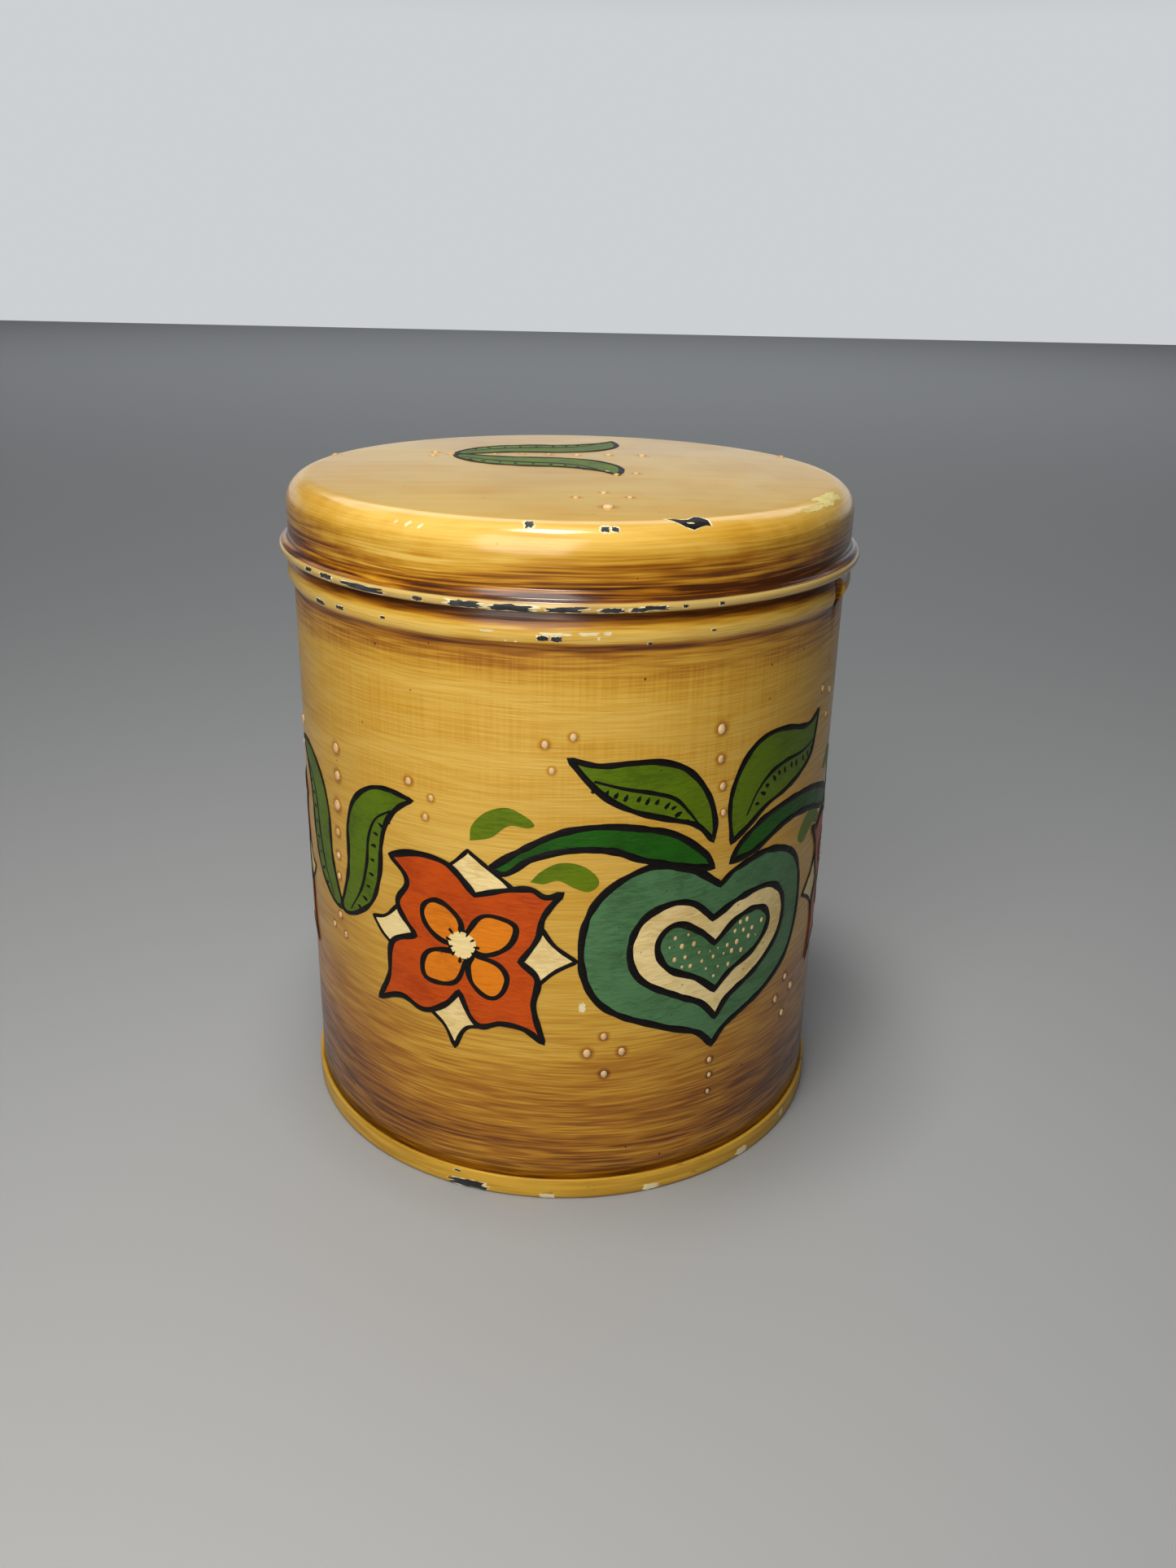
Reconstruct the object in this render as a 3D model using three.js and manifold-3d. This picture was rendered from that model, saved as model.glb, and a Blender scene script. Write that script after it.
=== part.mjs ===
// Round slip-lid coffee tin in painted tinplate, three pressed and rolled pieces:
// a rolled wall with a locked side seam, a base end hooked round its foot, and a lift-off lid.
// Millimetres, +Z up, origin at the centre of the face that the tin stands on.
import * as THREE from 'three';
import { mergeVertices } from 'three/addons/utils/BufferGeometryUtils.js';
import Module from 'manifold-3d';

const wasm = await Module();
wasm.setup();

// Overall sizes
const wallRadius = 63.5; // outside of the plain wall
const overallHeight = 154.6; // foot to crown of the lid
const sheet = 0.35; // tinplate thickness, all pieces

// Wall
const beadHeight = 5.8; // swaged ring below the neck
const beadProud = 1.3; // how far the ring stands out of the wall
const mouthRollRadius = 0.65; // inward roll of the mouth, to the middle of the sheet
const seamWidth = 6; // locked side seam, folded to the inside
const seamFold = 0.35; // how far the folds stand inside the wall
const seamAzimuth = 66; // degrees round from the front (-Y) towards +X

// Base end
const ringHeight = 5.1; // hemmed flange round the wall's foot
const ringProud = 0.95; // how far the flange stands out of the wall
const footThickness = 0.7; // metal under the wall's lower edge
const panelHeight = 3.5; // upper face of the base panel above the foot
const footRound = 0.5; // corner of the foot and of the flange

// Lid
const lidHeight = 17.6; // bottom of the curl to the crown
const lidCrown = 0.8; // rise of the top from the shoulder to the middle
const shoulderWidth = 6; // rounded shoulder, measured along the radius
const shoulderHeight = 6.3; // rounded shoulder, measured down the skirt
const curlDiameter = 2.5; // outward curl at the skirt's edge

// Clearances
const hookFit = 0.3; // wall foot to base end, all round
const lidFit = 0.4; // lid skirt to neck, on the radius
const seatFit = 0.3; // mouth to the inside of the lid's shoulder
const lidGap = 1.3; // lid curl to bead with the lid down

// Fineness
const turns = 64; // facets round the tin
const curlSteps = 8;
const curlSweep = 1.6 * Math.PI; // how far a roll is turned, short of closing
const shoulderSteps = 6;
const beadSteps = 8;

// Levels that the pieces share
const lidBottom = overallHeight - lidHeight;
const beadTop = lidBottom - lidGap;
const beadBottom = beadTop - beadHeight;
const wallFoot = footThickness + hookFit;
const wallMiddle = wallRadius - sheet / 2;
const wallInside = wallRadius - sheet;
const skirtInside = wallRadius + lidFit;
const skirtMiddle = skirtInside + sheet / 2;
const shoulderCentre = new THREE.Vector2(
  skirtMiddle + sheet / 2 - shoulderWidth,
  overallHeight - lidCrown - shoulderHeight,
);
const mouthTop = shoulderInside(wallRadius) - seatFit;

// Height of the inside of the lid's shoulder at a given radius.
function shoulderInside(radius) {
  const across = (radius - shoulderCentre.x) / (shoulderWidth - sheet);
  return shoulderCentre.y + (shoulderHeight - sheet) * Math.sqrt(Math.max(0, 1 - across * across));
}

// Points on an arc in the radius-height plane, first and last included.
function arc(centreR, centreZ, radiusR, radiusZ, from, to, steps) {
  const points = [];
  for (let i = 0; i <= steps; i += 1) {
    const angle = from + ((to - from) * i) / steps;
    points.push(new THREE.Vector2(
      centreR + radiusR * Math.cos(angle),
      centreZ + radiusZ * Math.sin(angle),
    ));
  }
  return points;
}

// Offsets the middle line of a sheet by half its thickness to each side.
function sheetSide(line, side) {
  return line.map((point, i) => {
    const before = line[Math.max(0, i - 1)];
    const after = line[Math.min(line.length - 1, i + 1)];
    const along = new THREE.Vector2().subVectors(after, before).normalize();
    const out = new THREE.Vector2(along.y, -along.x);
    return point.clone().addScaledVector(out, (side * sheet) / 2);
  });
}

// Turns a profile in the radius-height plane round the Z axis.
function revolve(profile) {
  const geometry = new THREE.LatheGeometry(profile, turns);
  geometry.rotateX(Math.PI / 2);
  return geometry;
}

// A mesh as a solid that can be joined to another.
function toSolid(geometry) {
  const plain = geometry.clone();
  plain.deleteAttribute('normal');
  plain.deleteAttribute('uv');
  const merged = mergeVertices(plain, 1e-4);
  return new wasm.Manifold(new wasm.Mesh({
    numProp: 3,
    vertProperties: new Float32Array(merged.attributes.position.array),
    triVerts: new Uint32Array(merged.index.array),
  }));
}

// A solid back as a mesh.
function toGeometry(solid) {
  const mesh = solid.getMesh();
  const geometry = new THREE.BufferGeometry();
  geometry.setAttribute('position', new THREE.BufferAttribute(mesh.vertProperties, 3));
  geometry.setIndex(new THREE.BufferAttribute(mesh.triVerts, 1));
  geometry.computeVertexNormals();
  return geometry;
}

// The swaged ring, as an arc whose ends lie on the wall.
function beadLine() {
  const half = beadHeight / 2;
  const radius = (half * half + beadProud * beadProud) / (2 * beadProud);
  const reach = Math.asin(half / radius);
  const centreR = wallMiddle + beadProud - radius;
  return arc(centreR, beadBottom + half, radius, radius, -reach, reach, beadSteps);
}

// Folded seam inside the wall, from above the base flange to below the bead.
function seamFolds() {
  const middle = THREE.MathUtils.degToRad(seamAzimuth - 90);
  const half = seamWidth / 2 / wallInside;
  const bottom = ringHeight + hookFit;
  const inWall = wallInside + sheet / 2;
  const outline = new THREE.Shape();
  outline.absarc(0, 0, inWall, middle - half, middle + half, false);
  outline.absarc(0, 0, wallInside - seamFold, middle + half, middle - half, true);
  outline.closePath();
  const depth = beadBottom - beadProud - bottom;
  const folds = new THREE.ExtrudeGeometry(outline, { depth, bevelEnabled: false, curveSegments: 4 });
  folds.translate(0, 0, bottom);
  return folds;
}

function bodyWall() {
  const rollCentre = mouthTop - mouthRollRadius - sheet / 2;
  const roll = arc(
    wallMiddle - mouthRollRadius, rollCentre, mouthRollRadius, mouthRollRadius, 0, curlSweep, curlSteps,
  );
  const line = [new THREE.Vector2(wallMiddle, wallFoot), ...beadLine(), ...roll];
  const outer = sheetSide(line, 1);
  const inner = sheetSide(line, -1).reverse();
  const shell = toSolid(revolve([...outer, ...inner, outer[0].clone()]));
  const whole = shell.add(toSolid(seamFolds()));
  return toGeometry(whole);
}

function baseEnd() {
  const chuckOutside = wallInside - hookFit;
  const chuckInside = chuckOutside - sheet;
  const flangeInside = wallRadius + hookFit;
  const flangeOutside = wallRadius + ringProud;
  const flangeMiddle = (flangeInside + flangeOutside) / 2;
  const flangeHalf = (flangeOutside - flangeInside) / 2;
  const outline = [
    [0, panelHeight - sheet],
    [chuckInside - footRound, panelHeight - sheet],
    [chuckInside, panelHeight - sheet - footRound],
    [chuckInside, footRound],
    [chuckInside + footRound, 0],
    [flangeOutside - footRound, 0],
    [flangeOutside, footRound],
  ].map(([r, z]) => new THREE.Vector2(r, z));
  const hem = arc(flangeMiddle, ringHeight - flangeHalf, flangeHalf, flangeHalf, 0, Math.PI, 4);
  const inside = [
    [flangeInside, footThickness],
    [chuckOutside, footThickness],
    [chuckOutside, panelHeight - sheet],
    [chuckOutside - sheet, panelHeight],
    [0, panelHeight],
  ].map(([r, z]) => new THREE.Vector2(r, z));
  return revolve([...outline, ...hem, ...inside]);
}

function lidShell() {
  const shoulder = arc(
    shoulderCentre.x, shoulderCentre.y, shoulderWidth - sheet / 2, shoulderHeight - sheet / 2,
    Math.PI / 2, 0, shoulderSteps,
  );
  const rollRadius = (curlDiameter - sheet) / 2;
  const curl = arc(
    skirtMiddle + rollRadius, lidBottom + curlDiameter / 2, rollRadius, rollRadius,
    Math.PI, Math.PI + curlSweep, curlSteps,
  );
  const crown = new THREE.Vector2(0, overallHeight - sheet / 2);
  const line = [crown, ...shoulder, ...curl];
  const outer = sheetSide(line, -1);
  const inner = sheetSide(line, 1);
  outer[0].set(0, overallHeight);
  inner[0].set(0, overallHeight - sheet);
  return revolve([...inner, ...outer.reverse()]);
}

const paint = { metalness: 0.1, roughness: 0.45 };
const ochrePaint = new THREE.MeshStandardMaterial({ color: 0xb58a35, ...paint });
const mustardPaint = new THREE.MeshStandardMaterial({ color: 0xb98a2c, ...paint });
const glazedPaint = new THREE.MeshStandardMaterial({ color: 0x9c7a35, ...paint });

const tin = new THREE.Group();

function addPiece(name, geometry, material) {
  const piece = new THREE.Mesh(geometry, material);
  piece.name = name;
  tin.add(piece);
}

addPiece('body_wall', bodyWall(), ochrePaint);
addPiece('base_end', baseEnd(), mustardPaint);
addPiece('lid_shell', lidShell(), glazedPaint);

export default tin;
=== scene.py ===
import math
import random

import bmesh
import bpy
from mathutils import Matrix, Vector, geometry, noise


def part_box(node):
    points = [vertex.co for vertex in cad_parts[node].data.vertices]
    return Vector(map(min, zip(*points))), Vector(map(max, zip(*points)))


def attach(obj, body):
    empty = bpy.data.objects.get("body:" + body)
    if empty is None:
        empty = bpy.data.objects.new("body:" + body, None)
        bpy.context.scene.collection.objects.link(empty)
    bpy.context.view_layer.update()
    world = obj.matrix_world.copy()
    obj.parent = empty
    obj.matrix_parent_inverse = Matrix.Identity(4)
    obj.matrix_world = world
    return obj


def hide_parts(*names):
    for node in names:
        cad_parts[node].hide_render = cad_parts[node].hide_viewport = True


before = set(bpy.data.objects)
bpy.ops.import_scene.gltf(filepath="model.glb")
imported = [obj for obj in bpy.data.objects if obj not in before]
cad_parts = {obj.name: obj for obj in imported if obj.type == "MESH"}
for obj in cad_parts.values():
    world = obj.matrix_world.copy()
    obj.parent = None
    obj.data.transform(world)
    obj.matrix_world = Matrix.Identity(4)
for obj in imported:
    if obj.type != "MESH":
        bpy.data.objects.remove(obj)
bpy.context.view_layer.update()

# Lengths are given in millimetres and turned into metres by mm
mm = 0.001
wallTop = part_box("body_wall")[1].z / mm
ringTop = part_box("base_end")[1].z / mm
lidLow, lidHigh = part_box("lid_shell")

tin = {
    "wallRadius": 63.5,
    "sheet": 0.35,
    "footHeight": 1.0,
    "beadHeight": 5.8,
    "beadProud": 1.3,
    "lidGap": 1.3,  # lid curl to bead
    "mouthRoll": 0.82,  # outer radius of the inward roll
    "seamTurn": math.radians(64.5),  # side seam, round from the front
    "hollowWide": 3.5,  # half width of the hollow that the seam leaves in the swaged ring
    "hollowDeep": 0.5,
    "lapProud": 0.1,  # step of the side seam's lap
    "lapEnd": (5.5, 7.0),  # where the lap fades out beside the seam
    "wobble": 0.05,  # how far the sheet wanders from a true cylinder
    "rows": 14,  # rows of faces up the plain wall
    "ringRows": 18,  # and over the swaged ring
    "ringEase": 0.6,  # plain rows this close to the ring
}
base = {
    "ringHeight": ringTop,
    "ringProud": 0.95,
    "panel": 3.5,  # upper face of the sunken panel
    "fit": 0.3,
    "foot": 0.7,  # metal under the wall's lower edge
    "round": 0.5,
}
lid = {
    "fit": 0.4,
    "top": lidHigh.z / mm,
    "bottom": lidLow.z / mm,
    "relief": 0.5,  # room under the top of the box for raised paint
    "crown": 0.8,
    "shoulderWide": 6.0,
    "shoulderHigh": 6.3,
    "curlAcross": 2.4,  # leaves room for the chips on its outside
}
beadTop = lid["bottom"] - tin["lidGap"]
beadLow = beadTop - tin["beadHeight"]
skirtOut = tin["wallRadius"] + lid["fit"] + tin["sheet"]
shoulderStart = skirtOut - lid["shoulderWide"]
curlCentre = tin["wallRadius"] + lid["fit"] + lid["curlAcross"] / 2
curlZ = lid["bottom"] + lid["curlAcross"] / 2

view = {
    "distance": 307.1,
    "height": 202.0,
    "yaw": math.radians(1.0),
    "pitch": math.radians(22.34),
    "roll": math.radians(1.27),
    "lens": 30.36,
}
studio = {
    # each light's place, aim, size, watts and colour
    "key": ((-0.085, -0.3, 0.28), (0, 0, 0.08), (0.2, 0.36), 1.25, (1.0, 0.96, 0.9)),
    "top": ((-0.05, -0.07, 0.7), (0, 0, 0.15), (0.14, 0.14), 1.9, (1.0, 0.97, 0.92)),
    "fill": ((0, 2.1, 1.7), (0, 2.0, 0), (3.0, 1.6), 24.0, (0.96, 0.98, 1.0)),
    "air": (0.93, 0.97, 1, 1),
    "dim": 0.05,  # light from all round
    "glow": 0.6,  # and from low behind the tin
    "floor": (0.36, 0.37, 0.38, 1),
    "floorSize": 3.0,  # half its width, in metres
}


def makeCamera():
    data = bpy.data.cameras.new("camera")
    data.sensor_fit = "VERTICAL"
    data.sensor_height = 36
    data.lens = view["lens"]
    data.clip_start = 0.01
    camera = bpy.data.objects.new("camera", data)
    bpy.context.scene.collection.objects.link(camera)
    turn = Matrix.Rotation(-view["yaw"], 4, "Z")
    tilt = Matrix.Rotation(math.pi / 2 - view["pitch"], 4, "X")
    roll = Matrix.Rotation(view["roll"], 4, "Z")
    place = Matrix.Translation((0, -view["distance"] * mm, view["height"] * mm))
    camera.matrix_world = place @ turn @ tilt @ roll
    bpy.context.scene.camera = camera


def softLight(name, place, aim, size, power, colour):
    data = bpy.data.lights.new(name, "AREA")
    data.shape = "RECTANGLE"
    data.size, data.size_y = size
    data.energy = power
    data.color = colour
    light = bpy.data.objects.new(name, data)
    bpy.context.scene.collection.objects.link(light)
    away = Vector(place) - Vector(aim)
    light.matrix_world = Matrix.Translation(place) @ away.to_track_quat("Z", "Y").to_matrix().to_4x4()
    light.visible_camera = False


def makeRoom():
    # a dim room with a pale, low wall of light behind the tin
    world = bpy.data.worlds.new("room")
    world.use_nodes = True
    nodes = Nodes(world, "Generated")
    parts = nodes.split()
    low = nodes.spread(parts.outputs["Z"], 1.0, 0.0, 0.13, 0.24)
    behind = nodes.spread(parts.outputs["Y"], 0.0, 1.0, 0.5, 0.85)
    glow = nodes.math("MULTIPLY", low, behind)
    back = world.node_tree.nodes["Background"]
    back.inputs["Color"].default_value = studio["air"]
    nodes.feed(back.inputs["Strength"], nodes.plus(studio["dim"], glow, studio["glow"]))
    bpy.context.scene.world = world


def makeStudio():
    for name in ("key", "top", "fill"):
        softLight(name, *studio[name])
    makeRoom()
    bpy.context.scene.view_settings.view_transform = "Standard"
    bm = bmesh.new()
    bmesh.ops.create_grid(bm, x_segments=1, y_segments=1, size=studio["floorSize"])
    mesh = bpy.data.meshes.new("floor")
    bm.to_mesh(mesh)
    bm.free()
    floor = bpy.data.objects.new("floor", mesh)
    bpy.context.scene.collection.objects.link(floor)
    paper = bpy.data.materials.new("floor_paper")
    paper.use_nodes = True
    shader = paper.node_tree.nodes["Principled BSDF"]
    shader.inputs["Base Color"].default_value = studio["floor"]
    shader.inputs["Roughness"].default_value = 0.7
    mesh.materials.append(paper)


gloss = {"specular": 0.22, "coatRoughness": 0.2}


def newPaint(name, roughness, metallic=0.0, coat=0.0):
    material = bpy.data.materials.new(name)
    material.use_nodes = True
    shader = material.node_tree.nodes["Principled BSDF"]
    shader.inputs["Roughness"].default_value = roughness
    shader.inputs["Metallic"].default_value = metallic
    shader.inputs["Specular IOR Level"].default_value = gloss["specular"]
    shader.inputs["Coat Weight"].default_value = coat
    shader.inputs["Coat Roughness"].default_value = gloss["coatRoughness"]
    return material, shader


class Nodes:
    # shorthand for wiring one material, or the world

    def __init__(self, owner, source="Object"):
        self.tree = owner.node_tree
        self.place = self.node("ShaderNodeTexCoord").outputs[source]

    def node(self, kind, **settings):
        made = self.tree.nodes.new(kind)
        for key, value in settings.items():
            setattr(made, key, value)
        return made

    def feed(self, socket, value):
        if hasattr(value, "is_output"):
            self.tree.links.new(value, socket)
        else:
            socket.default_value = value

    def math(self, operation, first, second=0.0, clamp=False):
        made = self.node("ShaderNodeMath", operation=operation, use_clamp=clamp)
        self.feed(made.inputs[0], first)
        self.feed(made.inputs[1], second)
        return made.outputs[0]

    def plus(self, amount, value, share, clamp=False):
        # adds a share of a value
        return self.math("ADD", amount, self.math("MULTIPLY", value, share), clamp)

    def scaled(self, scale, source=None):
        made = self.node("ShaderNodeVectorMath", operation="MULTIPLY")
        self.feed(made.inputs[0], source or self.place)
        made.inputs[1].default_value = scale
        return made.outputs[0]

    def noise(self, source, detail=2.0, rough=0.5, distort=0.0):
        made = self.node("ShaderNodeTexNoise")
        self.feed(made.inputs["Vector"], source)
        made.inputs["Scale"].default_value = 1.0
        made.inputs["Detail"].default_value = detail
        made.inputs["Roughness"].default_value = rough
        made.inputs["Distortion"].default_value = distort
        return made.outputs["Fac"]

    def spread(self, value, low, high, fromLow=0.0, fromHigh=1.0):
        made = self.node("ShaderNodeMapRange", interpolation_type="SMOOTHSTEP")
        self.feed(made.inputs["Value"], value)
        made.inputs["From Min"].default_value = fromLow
        made.inputs["From Max"].default_value = fromHigh
        made.inputs["To Min"].default_value = low
        made.inputs["To Max"].default_value = high
        return made.outputs["Result"]

    def mix(self, amount, first, second):
        made = self.node("ShaderNodeMix", data_type="RGBA", clamp_factor=True)
        self.feed(made.inputs["Factor"], amount)  # 6, 7 and 2 are its colour sockets
        self.feed(made.inputs[6], first)
        self.feed(made.inputs[7], second)
        return made.outputs[2]

    def ramp(self, value, stops):
        made = self.node("ShaderNodeValToRGB")
        self.feed(made.inputs["Fac"], value)
        elements = made.color_ramp.elements
        while len(elements) < len(stops):
            elements.new(0.5)
        for element, (position, colour) in zip(elements, stops):
            element.position = position
            element.color = (*colour, 1)
        return made.outputs["Color"]

    def height(self):
        return self.split().outputs["Z"]

    def split(self):
        made = self.node("ShaderNodeSeparateXYZ")
        self.feed(made.inputs[0], self.place)
        return made

    def radius(self):
        flat = self.scaled((1, 1, 0))
        made = self.node("ShaderNodeVectorMath", operation="LENGTH")
        self.feed(made.inputs[0], flat)
        return made.outputs["Value"]

    def bump(self, shader, height, depth, strength=1.0):
        made = self.node("ShaderNodeBump")
        made.inputs["Strength"].default_value = strength
        made.inputs["Distance"].default_value = depth
        self.feed(made.inputs["Height"], height)
        self.feed(shader.inputs["Normal"], made.outputs["Normal"])


makeCamera()
makeStudio()
print("camera and studio")


# Yellow ochre under a brown glaze that was dragged round the tin with a dry brush
ochreStops = [
    (0.0, (0.72, 0.47, 0.1)),
    (0.3, (0.58, 0.315, 0.03)),
    (0.55, (0.38, 0.15, 0.007)),
    (0.8, (0.17, 0.05, 0.002)),
    (1.0, (0.055, 0.014, 0.001)),
]


def brushed(nodes, long, thin, wander, detail=3.0, crisp=0.25):
    # streaks that run round the tin and wander a little up and down
    drift = nodes.noise(nodes.scaled((14, 14, 30)), 1.0)
    lift = nodes.math("MULTIPLY", nodes.math("SUBTRACT", drift, 0.5), wander * mm)
    parts = nodes.split()
    joined = nodes.node("ShaderNodeCombineXYZ")
    nodes.feed(joined.inputs["X"], parts.outputs["X"])
    nodes.feed(joined.inputs["Y"], parts.outputs["Y"])
    nodes.feed(joined.inputs["Z"], nodes.math("ADD", parts.outputs["Z"], lift))
    made = nodes.noise(nodes.scaled((long, long, thin), joined.outputs[0]), detail, 0.55)
    return nodes.spread(made, -1, 1, crisp, 1 - crisp)


def specks(nodes, density, size):
    # a few small dark spots in the glaze
    cells = nodes.node("ShaderNodeTexVoronoi")
    nodes.feed(cells.inputs["Vector"], nodes.place)
    cells.inputs["Scale"].default_value = density
    near = nodes.math("LESS_THAN", cells.outputs["Distance"], size)
    tint = nodes.node("ShaderNodeSeparateColor")
    nodes.feed(tint.inputs[0], cells.outputs["Color"])
    chosen = nodes.math("GREATER_THAN", tint.outputs["Red"], 0.8)
    return nodes.math("MULTIPLY", near, chosen)


# Shares of glaze, and of painted shade and highlight. Heights and radii are in metres, as the nodes read them
wallGlazeAndShade = {
    "blots": (18, 140, 12),  # long, thin, wander, detail and crisp of brushed
    "streaks": (50, 850, 5, 3.0, 0.32),
    "fine": (90, 2000, 3, 1.0, 0.32),
    "plain": 0.21,
    "bands": 0.44,
    "footTop": 0.066,  # the foot's band fades out up to here
    "neck": (0.1185, 0.1299),  # the band under the swaged ring
    "neckShare": 0.7,
    # the neck's dark glaze, with painted shade under the lid's curl
    "underLidGlazeAndShade": (0.1325, 0.1365),
    "underLidGlazeAndShadeShare": 0.42,
    "creaseShadow": 0.1296,  # painted shadow: dark line at the ring's lower edge
    "creaseShadowHalf": 0.0011,
    "creaseShadowShare": 0.26,
    "swings": ((0.08, 0.07), (0.02, 0.06), (0.05, 0.09)),  # each layer's, plain and more in the bands
    "sideShade": (0.02, 0.062),  # painted shade: darker low on both sides
    "sideShadeTop": 0.14,
    "sideShadeShare": 0.2,
    "crestWearAndHighlight": (0.0638, 0.0646),  # rubbed off the ring's crest, with a painted highlight there
    "crestWearAndHighlightShare": 0.5,
    "specks": (260, 0.075),
    "specksShare": 0.4,
    "halosShare": 0.85,
    "threadsFrom": (0.08, 0.105),  # fine upright lines that cross the streaks
    "threadsTo": (0.126, 0.13),
    "threadsShare": 0.22,
}


def wallPaint():
    glaze = wallGlazeAndShade
    material, shader = newPaint("ochre_paint", 0.38, coat=0.32)
    nodes = Nodes(material)
    height = nodes.height()
    blots, streaks, fine = [brushed(nodes, *glaze[layer]) for layer in ("blots", "streaks", "fine")]
    foot = nodes.spread(height, 1.0, 0.0, 0.0, glaze["footTop"])
    neck = nodes.spread(height, 0.0, 1.0, *glaze["neck"])
    # darker glaze on the neck, and painted shade under the lid's curl
    underLidGlazeAndShade = nodes.spread(height, 0.0, 1.0, *glaze["underLidGlazeAndShade"])
    # painted shadow: a dark line under the swaged ring
    creaseShadow = nodes.math("ABSOLUTE", nodes.math("SUBTRACT", height, glaze["creaseShadow"]))
    creaseShadow = nodes.spread(creaseShadow, glaze["creaseShadowShare"], 0.0, 0.0, glaze["creaseShadowHalf"])
    bands = nodes.math("MAXIMUM", foot, nodes.math("MULTIPLY", neck, glaze["neckShare"]))
    amount = nodes.plus(nodes.math("ADD", creaseShadow, glaze["plain"]), bands, glaze["bands"])
    amount = nodes.plus(amount, underLidGlazeAndShade, glaze["underLidGlazeAndShadeShare"])
    for layer, (plain, banded) in zip((blots, streaks, fine), glaze["swings"]):
        amount = nodes.plus(amount, layer, nodes.plus(plain, bands, banded))
    # painted shade: the wall is darker low on both sides
    sideShade = nodes.math("ABSOLUTE", nodes.split().outputs["X"])
    sideShade = nodes.spread(sideShade, 0.0, glaze["sideShadeShare"], *glaze["sideShade"])
    amount = nodes.plus(amount, sideShade, nodes.spread(height, 1.0, 0.0, 0.0, glaze["sideShadeTop"]))
    # the ring's crest is paler: rubbed wear and a painted highlight
    crestWearAndHighlight = nodes.spread(nodes.radius(), 0.0, glaze["crestWearAndHighlightShare"], *glaze["crestWearAndHighlight"])
    crestWearAndHighlight = nodes.math("MULTIPLY", crestWearAndHighlight, nodes.math("SUBTRACT", 1.0, underLidGlazeAndShade))
    amount = nodes.math("SUBTRACT", amount, crestWearAndHighlight)
    amount = nodes.plus(amount, specks(nodes, *glaze["specks"]), glaze["specksShare"])
    halos = nodes.node("ShaderNodeAttribute", attribute_name="glaze")
    amount = nodes.plus(amount, halos.outputs["Fac"], glaze["halosShare"], clamp=True)
    threads = nodes.spread(nodes.noise(nodes.scaled((1500, 1500, 30)), 2.0), -1, 1, 0.3, 0.7)
    threads = nodes.math("MULTIPLY", threads, nodes.spread(height, 0.0, 1.0, *glaze["threadsFrom"]))
    threads = nodes.math("MULTIPLY", threads, nodes.spread(height, 0.2, 0.0, *glaze["threadsTo"]))
    threads = nodes.math("MULTIPLY", threads, nodes.spread(blots, 0.2, 1, -0.6, 0.6))
    amount = nodes.plus(amount, threads, glaze["threadsShare"], clamp=True)
    nodes.feed(shader.inputs["Base Color"], nodes.ramp(amount, ochreStops))
    nodes.feed(shader.inputs["Roughness"], nodes.spread(fine, 0.32, 0.44, -1, 1))
    relief = nodes.plus(nodes.math("MULTIPLY", fine, 0.5), streaks, 0.5)
    nodes.bump(shader, relief, 0.08 * mm, 0.6)
    return material


# Shares of glaze on the lid, and of painted light and shade on the skirt and curl
lidGlazeAndShade = {
    "specular": 0.15,
    "coatRoughness": 0.16,
    "blots": (22, 170, 16),
    "streaks": (30, 800, 8, 3.0, 0.32),
    "fine": (50, 2000, 4, 1.0, 0.32),
    "plain": 0.13,
    "skirt": (0.138, 0.1525),
    "skirtShare": 0.72,
    "turned": (-0.045, 0.04),  # painted light and shade: the skirt is paler on its left and darker on its right
    "skirtSideShadeShare": 0.16,
    "corner": (0.1405, 0.1425),  # painted shade where the skirt meets the curl
    "cornerShadeShare": 0.22,
    "swings": ((0.05, 0.22), (0.03, 0.14), (0.05, 0.2)),
    "cloudsShare": 0.09,
    "topShare": 0.05,  # faint streaks across the top
    "specks": (230, 0.07),
    "specksShare": 0.35,
    "halosShare": 0.85,
    "curl": (0.0644, 0.0649),
    "curlTop": (0.139, 0.1393),
    "curlShadowBand": (0.1371, 0.1378),
    "curlPale": (0.56, 0.39, 0.12, 1),
    "curlWorn": (0.36, 0.19, 0.035, 1),
    "curlShadow": (0.2, 0.09, 0.012, 1),  # its underside, in painted shade
}


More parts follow.
